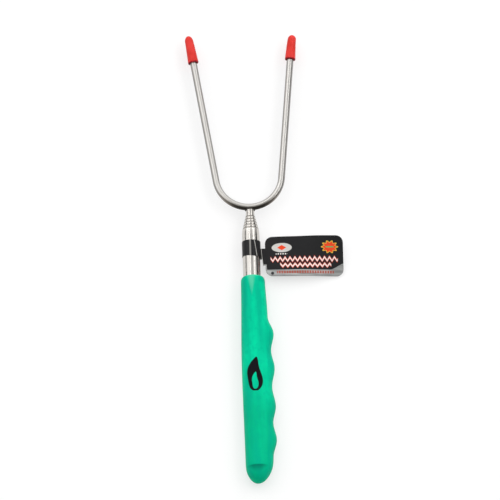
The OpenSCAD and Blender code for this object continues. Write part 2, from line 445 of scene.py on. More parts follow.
def addModifier(piece, kind, **settings):
    takeUp(piece)
    added = piece.modifiers.new(kind.lower(), kind)
    for name, value in settings.items():
        setattr(added, name, value)
    bpy.ops.object.modifier_apply(modifier=added.name)


def smoothOver(piece, levels):
    addModifier(piece, "SUBSURF", levels=levels, render_levels=levels)


def closeUp(piece):
    # Merges doubles and points every face outwards
    openUp(piece)
    bpy.ops.mesh.remove_doubles(threshold=doubleGap)
    bpy.ops.mesh.normals_make_consistent(inside=False)
    letGo()


def settle(piece, material, body, replaced=(), sharp=None):
    # Freezes a piece's place, shades and paints it and hands it to its body
    takeUp(piece)
    bpy.ops.object.transform_apply(location=True, rotation=True, scale=True)
    if sharp:
        bpy.ops.object.shade_smooth_by_angle(angle=radians(sharp))
    else:
        bpy.ops.object.shade_smooth()
    if material:
        piece.data.materials.clear()
        piece.data.materials.append(material)
    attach(piece, body)
    if replaced:
        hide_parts(*replaced)
    letGo()
    return piece


def eased(knots, place):
    # The knots' second values, eased from each knot to the next
    for (a, valueA), (b, valueB) in zip(knots, knots[1:]):
        if place <= b:
            return valueA + (valueB - valueA) * (1 - cos(pi * (place - a) / (b - a))) / 2
    return knots[-1][1]


# Steel and brass
metal = {
    # the colours that it runs between, how deep its grain is, its roughness and what wear adds
    "tube": {
        "pale": (0.66, 0.635, 0.60), "deep": (0.56, 0.535, 0.50),
        "grain": 0.02, "rough": 0.16, "wear": 0.08,
    },
    "rod": {
        "pale": (0.65, 0.63, 0.60), "deep": (0.57, 0.555, 0.53),
        "grain": 0.0008, "rough": 0.28, "wear": 0.03,
    },
    "brass": {
        "pale": (0.66, 0.46, 0.17), "deep": (0.50, 0.33, 0.10),
        "grain": 0.02, "rough": 0.30, "wear": 0.15,
    },
    # grain and scuffs to a metre, and the grain's share of the mottle
    "grainAcross": 1400,
    "grainAlong": 14,
    "scuffs": 90,
    "grainShare": 0.6,
    # the rolled bead just short of each lip: where, its length, and its height
    "rollBack": 0.0009,
    "rollLength": 0.00035,
    "rollHeight": 0.00013,
    # the painted shade line round each rolled lip: where it starts short of it, to full, colour and
    # strength
    "lipLine": (-0.00078, -0.00048),
    "lipColour": (0.16, 0.145, 0.125),
    "lipShare": 0.9,
    "lipRough": 0.2,
    # painted shade low on the rod: from which height it starts, to full, colour and strength
    "sooty": (0.0020, 0.0009),
    "sootColour": (0.20, 0.19, 0.18),
    "sootShare": 0.75,
    # the rod's bend, and which side of its middle line counts as outside
    "bendRadius": 0.0194,
    "bendX": -0.0002,
    "outside": (-0.0002, 0.0012),
    # the heat of the weld: how far it spreads, how ragged, and the scale and tint that it leaves; the
    # dark scale also stands as painted shade on the bend's outside
    "weldSpread": 0.016,
    "weldRagged": 0.3,
    "scale": {"fade": (1.15, 0.45), "share": 0.95, "colour": (0.045, 0.040, 0.036), "rough": 0.25},
    "tint": {"fade": (1.6, 0.6), "share": 0.5, "colour": (0.30, 0.235, 0.16)},
}


def steelPaint(name, kind, lip=None, weld=None):
    # Drawn metal: grain along the shaft, cloudy scuffs, a painted shade line round a lip, painted shade
    # low on the rod, and heat scale near a weld that also stands as painted shade
    tone = metal[kind]
    paint = newPaint(name)
    place = paint.coordinates()
    x, y, z = paint.parts(place)
    across, along = metal["grainAcross"], metal["grainAlong"]
    grain = paint.noise(paint.stretched(place, (across, along, across)), 1, 3)
    scuffs = paint.noise(place, metal["scuffs"], 4, 0.6)
    share = metal["grainShare"]
    colour = paint.blend(grain * share + scuffs * (1 - share), tone["deep"], tone["pale"])
    rough = tone["rough"] + tone["wear"] * (scuffs.rise(0.35, 0.75) + share * grain)
    relief = grain * tone["grain"]
    if lip:
        relief = relief + (y - lip).near(-metal["rollBack"], 0, metal["rollLength"])
        # painted shade at the rolled lip
        line = (y - lip).rise(*metal["lipLine"])
        colour = paint.blend(line * metal["lipShare"], colour, metal["lipColour"])
        rough = rough + metal["lipRough"] * line
    if weld:
        # painted shade low on the rod
        rodLowShade = z.rise(*metal["sooty"]) * metal["sootShare"]
        colour = paint.blend(rodLowShade, colour, metal["sootColour"])
        # tint and scale lie on the outside of the bend, thickest at the weld; the scale is partly heat
        # scale and partly painted shade
        tint, scale = metal["tint"], metal["scale"]
        top, bendY = weld
        dx, dy = x - metal["bendX"], y - bendY
        outside = ((dx * dx + dy * dy).root() - metal["bendRadius"]).rise(*metal["outside"])
        ragged = metal["weldRagged"] * (scuffs - 0.5)
        away = (x * x + (y - top) * (y - top)).root() / metal["weldSpread"] + ragged
        colour = paint.blend(outside * away.rise(*tint["fade"]) * tint["share"], colour, tint["colour"])
        scaleAndShade = outside * away.rise(*scale["fade"])
        colour = paint.blend(scaleAndShade * scale["share"], colour, scale["colour"])
        rough = rough + scale["rough"] * scaleAndShade
    shader = paint.surface(
        Base_Color=colour,
        Metallic=1.0,
        Roughness=rough,
        Normal=paint.bump(relief, metal["rollHeight"], 0.8),
    )
    return paint.finish(shader)


plug = {
    "specks": 900,
    "dark": (0.012, 0.012, 0.013),
    "pale": (0.03, 0.03, 0.032),
    "rough": 0.5,
    "wear": 0.2,
}


def plugPaint():
    paint = newPaint("plugBlack")
    speck = paint.noise(paint.coordinates(), plug["specks"], 3)
    colour = paint.blend(speck, plug["dark"], plug["pale"])
    shader = paint.surface(Base_Color=colour, Roughness=plug["rough"] + plug["wear"] * speck)
    return paint.finish(shader)


def paintNodes():
    # The bend's centre is a rod's radius and the bend's radius beyond the end of the shaft
    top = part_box("section_6")[1].y
    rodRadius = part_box("fork")[1].z
    rod = steelPaint("rodSteel", "rod", weld=(top, top + rodRadius + metal["bendRadius"]))
    brass = steelPaint("shimBrass", "brass")
    black = plugPaint()
    for name, node in nodes.items():
        if name.startswith("shim"):
            paint = brass
        elif name == "end_plug":
            paint = black
        elif name in ("fork", "weld_bead"):
            paint = rod
        elif name in ("base_tube", "section_2", "section_3", "section_4", "section_5"):
            paint = steelPaint("drawnSteel_" + name, "tube", lip=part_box(name)[1].y)
        else:
            paint = steelPaint("drawnSteel_" + name, "tube")
        node.data.materials.clear()
        node.data.materials.append(paint)
    print("metal painted")


paintNodes()

# Weld bead
bead = {
    "radius": 0.00252,
    "thick": 0.00058,
    "around": 40,
    "across": 10,
    # its top and underside climb the rod: from which share of its radius, how far and how widely
    "climbFrom": 0.7,
    "climb": 0.0003,
    "climbSpread": 0.0015,
    "lumps": 0.00016,
    "seed": 7,
    "pale": (0.085, 0.075, 0.066),
    "dark": (0.022, 0.020, 0.018),
    "ripples": 1500,
    "rippleHeight": 0.00006,
    "rough": 0.42,
    "wear": 0.2,
}


def beadPaint():
    # Burnt weld metal
    paint = newPaint("weldScale")
    place = paint.coordinates()
    ripple = paint.noise(place, bead["ripples"], 4, 0.6)
    shader = paint.surface(
        Base_Color=paint.blend(ripple.rise(0.35, 0.7), bead["dark"], bead["pale"]),
        Metallic=0.8,
        Roughness=bead["rough"] + bead["wear"] * ripple,
        Normal=paint.bump(ripple, bead["rippleHeight"], 0.6),
    )
    return paint.finish(shader)


def makeBead():
    # A ring in the corner between the last tube's end and the rod, climbing the rod above and below
    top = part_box("section_6")[1].y
    bpy.ops.mesh.primitive_torus_add(
        major_radius=bead["radius"],
        minor_radius=bead["thick"],
        major_segments=bead["around"],
        minor_segments=bead["across"],
        location=(0, top, 0),
        rotation=(pi / 2, 0, 0),
    )
    piece = takeUp(bpy.context.object, "weldRing")
    bpy.ops.object.transform_apply(location=True, rotation=True, scale=True)
    openUp(piece)
    for side in (1, -1):
        pick(piece, "VERT", lambda v: v.co.z * side > bead["radius"] * bead["climbFrom"])
        bpy.ops.transform.translate(
            value=(0, bead["climb"], -side * bead["climb"]),
            use_proportional_edit=True,
            proportional_edit_falloff="SMOOTH",
            proportional_size=bead["climbSpread"],
        )
    bpy.ops.mesh.select_all(action="SELECT")
    bpy.ops.transform.vertex_random(offset=bead["lumps"], seed=bead["seed"])
    bpy.ops.mesh.vertices_smooth(factor=0.5, repeat=2)
    closeUp(piece)
    smoothOver(piece, 1)
    return settle(piece, beadPaint(), "tines", ["weld_bead"])


makeBead()
print("weld made")

# Grip
grip = {
    "sides": 48,
    # wall of the grip outside the tube against distance from the butt
    "palm": [(0, 0.00175), (0.072, 0.00235), (0.1276, 0.00135)],
    "finger": [
        (0, 0.00245), (0.0161, 0.00405), (0.0266, 0.00635), (0.03705, 0.0045), (0.0475, 0.00635),
        (0.0594, 0.0045), (0.0713, 0.00635), (0.08195, 0.0045), (0.0926, 0.00635), (0.1031, 0.0031),
        (0.1276, 0.00215),
    ],
    "cover": 0.0023,
    "boreGap": 0.00005,
    "dome": 0.011,
    "domeRings": 10,
    "bodyRings": 60,
    "rimRings": 5,
    "rimLength": 0.0024,
    "rimRound": 0.0011,
    # the mould's parting line, on faces further out than this share of the bore's radius
    "seamFrom": 1.05,
    "seamWidth": 0.00022,
    "seamHeight": 0.00010,
    "buttWall": 0.0105,
    "mouthChamfer": 0.00025,
}


def gripHalfWidth(wall, along, length, bore):
    # Half the grip's width beyond the bore, domed at the butt and rounded at the mouth
    dome, rim = grip["dome"], grip["rimLength"]
    domed = sqrt(1 - (1 - along / dome) ** 2) if along < dome else 1
    late = max(0, 1 - (length - along) / rim)
    return (bore + wall) * domed - grip["rimRound"] * (1 - sqrt(1 - late * late))


def makeGrip():
    low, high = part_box("grip")
    length = high.y - low.y
    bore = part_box("base_tube")[1].z + grip["boreGap"]
    dome, rim = grip["dome"], grip["rimLength"]
    # where the rings stand, from the butt: closer together on the dome and at the rim
    domeRings, bodyRings, rimRings = grip["domeRings"], grip["bodyRings"], grip["rimRings"]
    stations = [dome * (1 - cos(pi / 2 * i / domeRings)) for i in range(1, domeRings + 1)]
    body = length - dome - rim
    stations += [dome + body * i / bodyRings for i in range(1, bodyRings + 1)]
    stations += [length - rim * (1 - sin(pi / 2 * i / rimRings)) for i in range(1, rimRings + 1)]

    unit = 0.001
    halfStep = pi / grip["sides"]
    bpy.ops.mesh.primitive_circle_add(
        vertices=grip["sides"],
        radius=unit,
        location=(0, low.y + stations[0], 0),
        rotation=(pi / 2, halfStep, 0),
    )
    piece = takeUp(bpy.context.object, "gripSleeve")
    bpy.ops.object.transform_apply(location=True, rotation=True, scale=True)
    openUp(piece)
    for here, after in zip(stations, stations[1:]):
        extrude((0, after - here, 0))

    def shapeRing(y, finger, palm, cover):
        centre = (0, y, 0)
        pick(piece, "VERT", lambda v: abs(v.co.y - y) < hair and v.co.x > 0)
        resize((finger, 1, 1), centre)
        pick(piece, "VERT", lambda v: abs(v.co.y - y) < hair and v.co.x < 0)
        resize((palm, 1, 1), centre)
        pick(piece, "VERT", lambda v: abs(v.co.y - y) < hair)
        resize((1, 1, cover), centre)

    for along in stations:
        walls = (eased(grip["finger"], along), eased(grip["palm"], along), grip["cover"])
        shapeRing(low.y + along, *(gripHalfWidth(wall, along, length, bore) / unit for wall in walls))

    # the mouth's face, drawn in to the bore, and the bore down to the end plug
    walls = [gripHalfWidth(grip[k][-1][1], length, length, bore) for k in ("finger", "palm")]
    walls.append(gripHalfWidth(grip["cover"], length, length, bore))
    pick(piece, "VERT", lambda v: abs(v.co.y - high.y) < hair)
    extrude((0, -grip["mouthChamfer"], 0))
    shapeRing(high.y - grip["mouthChamfer"], *(bore / wall for wall in walls))
    extrude((0, -(length - grip["buttWall"] - grip["mouthChamfer"]), 0))
    bpy.ops.mesh.edge_face_add()
    pick(piece, "VERT", lambda v: abs(v.co.y - low.y - stations[0]) < hair)
    bpy.ops.mesh.fill_grid(span=grip["sides"] // 4)

    # flats on top and underneath
    for side in (high.z, low.z):
        pick(piece, "VERT", lambda v: v.co.z * side > side * side)
        resize((1, 1, 0), (0, 0, side))

    # the mould's parting line, a fine raised bead down both sides
    def onSeam(face):
        middle = face.calc_center_median()
        return abs(middle.z) < hair and abs(middle.x) > bore * grip["seamFrom"]

    pick(piece, "FACE", onSeam)
    bpy.ops.mesh.inset(thickness=grip["seamWidth"], use_even_offset=True, use_boundary=True)
    bpy.ops.transform.shrink_fatten(value=grip["seamHeight"])
    closeUp(piece)
    smoothOver(piece, 1)
    return piece


gripLook = {
    "mid": (0.0, 0.57, 0.31),
    "light": (0.0, 0.64, 0.34),
    "deep": (0.0, 0.40, 0.250),
    "butt": (0.0, 0.45, 0.23),
    "glow": (0.0, 0.67, 0.35),
    # over which distance back from the mouth it turns to the butt's green
    "late": (0.055, 0.090),
    # light clouds, and how much of them is lost towards the butt
    "clouds": {"scale": 70, "rise": (0.35, 0.7), "lost": 0.85},
    # long bands: deep where the noise is high, glowing where it is low
    "bands": {"scale": (230, 26, 230), "deep": (0.40, 0.66), "deepShare": 0.65, "glow": (0.46, 0.30)},
    "glowShare": {"mouth": 0.3, "lost": 0.1},
    # deeper green: on the fingers' side, in a fine mottle and in streaks on the palm's side; low down it
    # is painted shade
    "fingers": {"x": (0.0003, 0.0042), "back": (0.043, 0.010, 0.014), "share": 0.42},
    "mottle": {"scale": (420, 260, 420), "rise": (0.50, 0.66), "share": 0.28},
    "palm": {"scale": (90, 34, 90), "rise": (0.40, 0.62), "x": (-0.0015, -0.0052), "share": 0.5},
    "low": {"z": (0.0018, -0.0022), "share": 0.15},
    # and painted shade at the mouth, down the left side and on both shoulders
    "left": {"x": (-0.0022, -0.0040), "back": (0.026, 0.012)},
    "shoulders": {"x": (0.0028, 0.0044), "back": (0.0055, 0.0030)},
    "mouthShare": 0.6,
    # painted highlights: the tube's glint, a wedge from the mouth, and the pale line round the rim
    "glint": {
        "length": 0.0145, "full": 0.004, "width": 0.0021, "x": -0.0005, "tip": 0.05, "edge": (1.5, 0.2),
    },
    "rim": {"back": (0.0005, 0.0003, 0.0004), "x": (0.0040, 0.0030)},
    "glintColour": (0.15, 0.62, 0.41),
    "glintShare": 0.6,
    # painted shade where the tube's dark end shows through: half its width, how far above its point it
    # stops and below it fades
    "endShape": (0.0072, 0.0014, 0.0042),
    "endTaper": 0.75,
    "endEdge": (1.1, 0.3),
    "endColour": (0.0, 0.145, 0.095),
    "endShare": 0.85,
    # the black flame on top: its middle and foot, width and length, and from which height it prints
    "ink": (0.008, 0.008, 0.010),
    "flameFoot": (-0.0001, -0.0090),
    "flameSize": (0.0104, 0.0215),
    "flameHeight": (0.001, 0.002),
    # the bare flame inside it: how far up it stands, its width and length, as shares of the whole
    "flameInside": (0.06, 0.42, 0.5),
    # its outline: how it narrows to tip and foot, its width, and the wave, start and reach of its lean
    "flameOutline": (0.8, 0.45, 0.95),
    "flameLean": (7, 1.2, 0.12),
    # the finest mottle, which the roughness and the relief follow
    "fine": (900, 120, 900),
    "rough": 0.42,
    "wear": 0.10,
    "relief": 0.00006,
}


def flame(x, y, foot, size):
    # 1 inside a flame that stands on its foot and leans from side to side
    width, height = size
    tipPower, footPower, fullness = gripLook["flameOutline"]
    waves, start, reach = gripLook["flameLean"]
    up = (y - foot[1]) / height
    inside = up.rise(0.0, 0.02) * up.rise(1.0, 0.97)
    up = up.most(0.001).least(0.999)
    half = (1 - up) ** tipPower * up ** footPower * (width * fullness)
    lean = (up * waves - start).wave() * (width * reach) * up
    return (abs(x - foot[0] - lean) / half).rise(1.06, 0.94) * inside


def gripGreens(paint, place, x, z, back):
    # Clear green plastic: light clouds and long bands along it, deeper green in places, and painted
    # shade low down and at the mouth
    look = gripLook
    clouds, bands, palm = look["clouds"], look["bands"], look["palm"]
    cloud = paint.noise(place, clouds["scale"], 3, 0.55)
    band = paint.noise(paint.stretched(place, bands["scale"]), 1, 2)
    streak = paint.noise(paint.stretched(place, palm["scale"]), 1, 2)
    mottle = paint.noise(paint.stretched(place, look["mottle"]["scale"]), 1, 2)
    late = back.rise(*look["late"])
    glow = look["glowShare"]["mouth"] - late * look["glowShare"]["lost"]
    colour = paint.blend(late, look["mid"], look["butt"])
    light = cloud.rise(*clouds["rise"]) * (1 - late * clouds["lost"])
    colour = paint.blend(light, colour, look["light"])
    colour = paint.blend(band.rise(*bands["deep"]) * bands["deepShare"], colour, look["deep"])
    colour = paint.blend(band.rise(*bands["glow"]) * glow, colour, look["glow"])
    left, shoulders = look["left"], look["shoulders"]
    leftMouthShade = x.rise(*left["x"]) * back.rise(*left["back"])
    shoulderShade = abs(x).rise(*shoulders["x"]) * back.rise(*shoulders["back"])
    deeper = [
        x.rise(*look["fingers"]["x"]) * back.near(*look["fingers"]["back"]) * look["fingers"]["share"],
        mottle.rise(*look["mottle"]["rise"]) * look["mottle"]["share"],
        x.rise(*palm["x"]) * streak.rise(*palm["rise"]) * palm["share"],
        # the last two are painted shade: low down, and at the mouth
        z.rise(*look["low"]["z"]) * look["low"]["share"],
        leftMouthShade.most(shoulderShade) * look["mouthShare"],
    ]
    for share in deeper:
        colour = paint.blend(share, colour, look["deep"])
    return colour, band


def gripPaint(tubeEnd, mouth):
    # The greens, then the painted glint of the tube at the mouth, the painted shade of its end at the
    # butt, and the flame
    look = gripLook
    paint = newPaint("glowGreen")
    place = paint.coordinates()
    x, y, z = paint.parts(place)
    back = mouth - y
    colour, band = gripGreens(paint, place, x, z, back)
    # painted highlights: the tube's glint and the pale line round the rim
    glint, rim = look["glint"], look["rim"]
    narrowing = glint["width"] * (1 + glint["tip"] - back / glint["length"]).most(glint["tip"])
    wedge = (abs(x - glint["x"]) / narrowing).rise(*glint["edge"])
    wedge = back.rise(glint["length"], glint["full"]) * wedge
    rimHighlight = back.near(*rim["back"]) * abs(x).rise(*rim["x"])
    colour = paint.blend(wedge.most(rimHighlight) * look["glintShare"], colour, look["glintColour"])
    # painted shade of the tube's end, seen through the plastic
    wide, above, below = look["endShape"]
    endY = y - tubeEnd.y
    narrow = wide * (1 - (above - endY) / (below + above) * look["endTaper"]).most(0.1)
    end = (abs(x - tubeEnd.x) / narrow).rise(*look["endEdge"])
    end = end * endY.rise(above, above * 0.5) * endY.rise(-below, above)
    colour = paint.blend(end * look["endShare"], colour, look["endColour"])
    foot, size = look["flameFoot"], look["flameSize"]
    lift, width, length = look["flameInside"]
    outer = flame(x, y, foot, size)
    inner = flame(x, y, (foot[0], foot[1] + size[1] * lift), (size[0] * width, size[1] * length))
    ink = outer * (1 - inner) * z.rise(*look["flameHeight"])
    colour = paint.blend(ink, colour, look["ink"])
    fine = paint.noise(paint.stretched(place, look["fine"]), 1, 2)
    shader = paint.surface(
        Base_Color=colour,
        Roughness=look["rough"] + look["wear"] * fine,
        Specular_IOR_Level=0.03,
        Subsurface_Weight=0.12,
        Subsurface_Radius=(0.1, 1.0, 0.6),
        Subsurface_Scale=0.002,
        Normal=paint.bump(band + fine * 0.3, look["relief"], 0.5),
    )
    return paint.finish(shader)


gripPiece = makeGrip()
tubeEnd = placeAt(gripPiece, imagePoints["tubeEnd"])
settle(gripPiece, gripPaint(tubeEnd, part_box("grip")[1].y), "handle", ["grip"])
print("grip made:", len(gripPiece.data.polygons), "faces")

# Tip caps
cap = {
    "sides": 40,
    "wall": 0.00105,
    "taper": 0.00055,
    "domeStretch": {"left": 1.45, "right": 1.15},
    "fit": 0.00005,
    # the rolled rim at its mouth: where its face ends, how far it rounds over, its top and its end
    "rimFace": 0.00012,
    "rimStart": (0.00015, 0.00004),
    "beadRise": 0.00012,
    "beadLength": 0.0008,
    "beadEnd": 0.00144,
    "domeRings": 7,
    "bodyRings": 6,
    # the socket inside: how far short of the tip it narrows, by how much, and the length of its point
    "socketShort": 0.0042,
    "socketPoint": 0.35,
    "socketEnd": 0.0012,
    # how far its tip is pushed aside, from where, and how widely
    "lean": {"left": (-0.0001, 0, 0), "right": (0.00015, 0, 0)},
    "leanFrom": 0.9,
    "leanSpread": 0.004,
    "colour": (0.62, 0.024, 0.014),
    "pale": (0.74, 0.045, 0.038),
    # painted shade at the mouth, in dark red
    "dark": (0.34, 0.003, 0.010),
    # how far along from its mouth the painted shade at the mouth reaches
    "darkLine": (0.0011, 0.0004),
    "scuffs": 420,
    "clouds": 160,
    "rough": 0.38,
    "wear": 0.18,
    "relief": 0.00008,
}


def capPaint(side, mouth, way):
    paint = newPaint(side + "CapRed")
    place = paint.coordinates()
    x, y = paint.parts(place)[:2]
    along = (x - mouth.x) * way.x + (y - mouth.y) * way.y
    scuffs = paint.noise(place, cap["scuffs"], 4, 0.6)
    clouds = paint.noise(place, cap["clouds"], 2)
    colour = paint.blend(clouds.rise(0.35, 0.7) * 0.8, cap["colour"], cap["pale"])
    # painted shade round the mouth
    colour = paint.blend(along.rise(*cap["darkLine"]), colour, cap["dark"])
    shader = paint.surface(
        Base_Color=colour,
        Roughness=cap["rough"] + cap["wear"] * scuffs.rise(0.4, 0.7),
        Subsurface_Weight=0.12,
        Subsurface_Radius=(1.0, 0.2, 0.1),
        Subsurface_Scale=0.001,
        Specular_IOR_Level=0.2,
        Normal=paint.bump(scuffs + clouds, cap["relief"], 0.4),
    )
    return paint.finish(shader)


def makeCap(side):
    pin = next(m for m in frame["record"]["mounts"] if m["name"] == side + "_tine")
    way = Vector(pin["axis"])
    bare = pin["dims"]["length_mm"] * mm
    mouth = Vector(pin["pos_m"]) + way * bare / 2
    rod = pin["dims"]["r_mm"] * mm
    length = (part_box(side + "_cap")[1].y - mouth.y) / way.y
    outer, inner = rod + cap["wall"], rod + cap["fit"]
    end = outer - cap["taper"]
    # stations along the cap with their radii, from the mouth's inner edge round the outside to the tip
    startAt, startRise = cap["rimStart"]
    rings = [(0.0, inner), (0.0, outer - cap["rimFace"]), (startAt, outer + startRise)]
    rings += [(cap["beadLength"], outer + cap["beadRise"]), (cap["beadEnd"], outer)]
    dome = end * cap["domeStretch"][side]
    body = length - dome - cap["beadEnd"]
    for i in range(1, cap["bodyRings"] + 1):
        share = i / cap["bodyRings"]
        rings.append((cap["beadEnd"] + body * share, outer - cap["taper"] * share))
    for i in range(1, cap["domeRings"]):
        turn = pi / 2 * i / cap["domeRings"]
        rings.append((length - dome * (1 - sin(turn)), end * cos(turn)))
    bpy.ops.mesh.primitive_circle_add(vertices=cap["sides"], radius=rings[0][1], rotation=(pi / 2, 0, 0))
    piece = takeUp(bpy.context.object, side + "TipCap")
    bpy.ops.object.transform_apply(location=True, rotation=True, scale=True)
    openUp(piece)
    for (here, radius), (after, newRadius) in zip(rings, rings[1:]):
        extrude((0, after - here, 0))
        resize((newRadius / radius, 1, newRadius / radius), (0, after, 0))
    bpy.ops.mesh.fill_grid(span=cap["sides"] // 4)
    # the socket inside, drawn in from the mouth to the tine's point
    pick(piece, "VERT", lambda v: abs(v.co.y) < hair and v.co.xz.length < inner + hair)
    deep, point = length - cap["socketShort"], cap["socketPoint"]
    extrude((0, deep, 0))
    resize((point, 1, point), (0, deep, 0))
    extrude((0, cap["socketEnd"], 0))
    bpy.ops.mesh.edge_face_add()
    # a soft cap never stands quite true
    pick(piece, "VERT", lambda v: v.co.y > length - end * cap["leanFrom"])
    bpy.ops.transform.translate(
        value=cap["lean"][side],
        use_proportional_edit=True,
        proportional_edit_falloff="SMOOTH",
        proportional_size=cap["leanSpread"],
    )
    closeUp(piece)
    smoothOver(piece, 1)
    takeUp(piece)
    piece.rotation_euler = (0, 0, -way.angle(Vector((0, 1, 0))) * (1 if way.x > 0 else -1))
    piece.location = mouth
    return settle(piece, capPaint(side, mouth, way), side + "_cap", [side + "_cap"])


capPieces = {side: makeCap(side) for side in ("left", "right")}
print("caps made")

# Hang tag: a strap round the tube, its outer end, a neck and a printed card
tag = {
    # the strap, along the shaft from its joint, and the slant of its lower edge
    "strapReach": (-0.00505, 0.0048),
    "strapSlant": 6,
    "strapRadius": 0.00532,
    "strapThick": 0.00015,
    "strapSides": 72,
    "strapRows": 4,
    "wrapThick": 0.000135,
    # the outer end, which runs on round the right side from a slanted edge on top
    "wrapReach": (-0.0053, 0.0047),
    "wrapRadius": 0.00550,
    # in degrees from +Z towards +X: that edge at its foot and head, its pale border, partly cut edge and
    # partly painted highlight, and where it ends
    "wrapFront": (34, 18),
    "wrapBorder": 4.5,
    "wrapEnd": 125,
    # the two columns of the sleeve that are moved to the edge and to the border's far side, and the
    # angle before which a face belongs to the border
    "wrapColumns": (40, 45),
    "borderEnd": 37,
    # a painted highlight along the top of the strap: where, half its width and its soft edge
    "crease": (-0.0006, 0.00045, 0.0006),
    "creaseColour": (0.34, 0.33, 0.31),
    "creaseShare": 0.75,
    # the card, its middle below the strap's, and the neck, from the card's edge to the tube
    "cardSize": (0.0458, 0.0242),
    "cardDrop": 0.00435,
    "cardCorner": 0.0042,
    "cardThick": 0.00035,
    "cardColumns": 26,
    "cardRows": 10,
    "neckReach": (-0.0098, 0.0007),
    # how far it stands out to a slanted fold, at its foot and at its head; the share of that in its
    # first step, which lifts a little; where the strap joins it, and its way down to the strap
    "neckFold": (0.0015, 0.0023),
    "neckStart": 0.6,
    "neckLift": 0.0001,
    "neckJoin": -0.0054,
    "neckDown": [(-0.0002, -0.0004), (-0.0002, -0.0010), (-0.0004, -0.0010)],
    # the card's twist in degrees and its droop, against the share of its length, and its bow
    "twist": [(0, 2), (0.35, 5), (1.0, 20)],
    "droop": [(0, 0.0003), (0.5, 0.0011), (1.0, 0.0021)],
    "bow": 0.0007,
    # the silver band at its foot, in shares of the card: its height, and how much it rises at each end
    # and over which stretch
    "bandHeight": 0.165,
    "bandSwoop": (0.15, (0.82, 1.02)),
    "bandCorner": (0.14, (0.018, 0.012)),
    "bandEdge": 0.004,
    "bandShine": 0.35,
    # the painted sheen's streaks on the silver band
    "sheen": (3, 14, 1),
    # the painted highlight along the neck's fold: half its width and its soft edge
    "foldLine": (0.00025, 0.0001),
    "foldShare": 0.85,
    "black": (0.012, 0.012, 0.013),
    "worn": (0.021, 0.021, 0.022),
    # the silver, and its painted shade at the foot and in the sheen's dark streaks
    "silver": (0.52, 0.53, 0.52),
    "silverDeep": (0.26, 0.265, 0.26),
    # the pale edge colour: the board's cut edge, and the painted highlights on the neck's fold and the
    # strap's slanted edge
    "edge": (0.50, 0.49, 0.46),
    "cutEdge": (0.24, 0.24, 0.23),
    # the print, in millimetres from the card's near lower corner: middles, sizes and runs
    "oval": ((9.8, 17.4), (5.9, 2.8)),
    "diamond": (2.7, 1.6),
    "badge": ((37.9, 17.4), 4.4),
    "badgeFlat": 1.3,
    "badgePoints": 10,
    "badgeTeeth": 0.16,
    "badgeBar": (2.3, 0.45),
    "rows": [(10.3, 2.3, (3.1, 42.6)), (6.7, 1.8, (8.6, 38.6))],
    "rowPitch": 2.9,
    "rowWeights": [(0.95, "orange"), (0.55, "white")],
    "dots": (13.6, (6.2, 13.0)),
    "dotPitch": 1.4,
    "dotEdge": (0.5, 0.36),
    "dashes": (2.5, (6.6, 40.0)),
    "dashPitch": 1.5,
    "dashShape": (0.36, 0.80),
    "dashShare": 0.9,
    "pale": (0.58, 0.57, 0.54),
    "white": (0.80, 0.77, 0.73),
    "orange": (0.80, 0.065, 0.018),
    "yellow": (0.72, 0.47, 0.06),
    "green": (0.10, 0.42, 0.12),
    "rust": (0.42, 0.085, 0.055),
    # the board's fibres and clouds to a metre, its roughness and its relief
    "fibres": 700,
    "clouds": 60,
    "rough": 0.36,
    "wear": 0.14,
    "relief": 0.00005,
    "plainMottle": 1100,
    "plainRelief": 0.00002,
    # the angle in degrees from which an edge of it stays sharp
    "sharp": 40,
}
joints = frame["record"]["behaviour"]["joints"]
strapMiddle = next(joint for joint in joints if joint["name"] == "tag_swivel")["pos_m"][1]


def within(value, low, high, edge):
    return value.near((low + high) / 2, (high - low) / 2, edge)


def printOn(paint, colour, across, up):
    # A plain oval and badge, two zigzag rows, a row of dots and a row of dashes
    (ovalX, ovalY), (ovalWide, ovalTall) = tag["oval"]
    dx, dy = across - ovalX, up - ovalY
    oval = ((dx * dx) / ovalWide ** 2 + (dy * dy) / ovalTall ** 2).rise(1.05, 0.95)
    colour = paint.blend(oval, colour, tag["pale"])
    diamond = (abs(dx) / tag["diamond"][0] + abs(dy) / tag["diamond"][1]).rise(1.06, 0.94)
    colour = paint.blend(diamond, colour, tag["orange"])

    (badgeX, badgeY), badgeRadius = tag["badge"]
    dx, dy = across - badgeX, (up - badgeY) * tag["badgeFlat"]
    turn = dy.math("ARCTAN2", dy, dx)
    out = (dx * dx + dy * dy).root() / (1 + tag["badgeTeeth"] * (turn * tag["badgePoints"]).wave())
    colour = paint.blend((out / badgeRadius).rise(1.03, 0.97), colour, tag["yellow"])
    colour = paint.blend((out / badgeRadius).rise(0.88, 0.82), colour, tag["orange"])
    barReach, barHeight = tag["badgeBar"]
    bar = dy.near(0, barHeight, 0.15) * dx.near(0, barReach, 0.2)
    colour = paint.blend(bar, colour, tag["green"])

    for middle, height, (start, end) in tag["rows"]:
        climb = abs(across.repeat(tag["rowPitch"]) - 0.5) * (2 * height) - height / 2 + middle
        inRun = within(across, start, end, 0.1)
        for weight, ink in tag["rowWeights"]:
            colour = paint.blend((up - climb).near(0, weight, 0.15) * inRun, colour, tag[ink])

    dotY, (start, end) = tag["dots"]
    dx, dy = (across.repeat(tag["dotPitch"]) - 0.5) * tag["dotPitch"], up - dotY
    dots = (dx * dx + dy * dy).root().rise(*tag["dotEdge"]) * within(across, start, end, 0.05)
    colour = paint.blend(dots, colour, tag["white"])

    dashY, (start, end) = tag["dashes"]
    dashReach, dashHeight = tag["dashShape"]
    dashes = up.near(dashY, dashHeight, 0.2) * across.repeat(tag["dashPitch"]).near(0.5, dashReach, 0.1)
    inRun = within(across, start, end, 0.05)
    return paint.blend(dashes * inRun * tag["dashShare"], colour, tag["rust"])


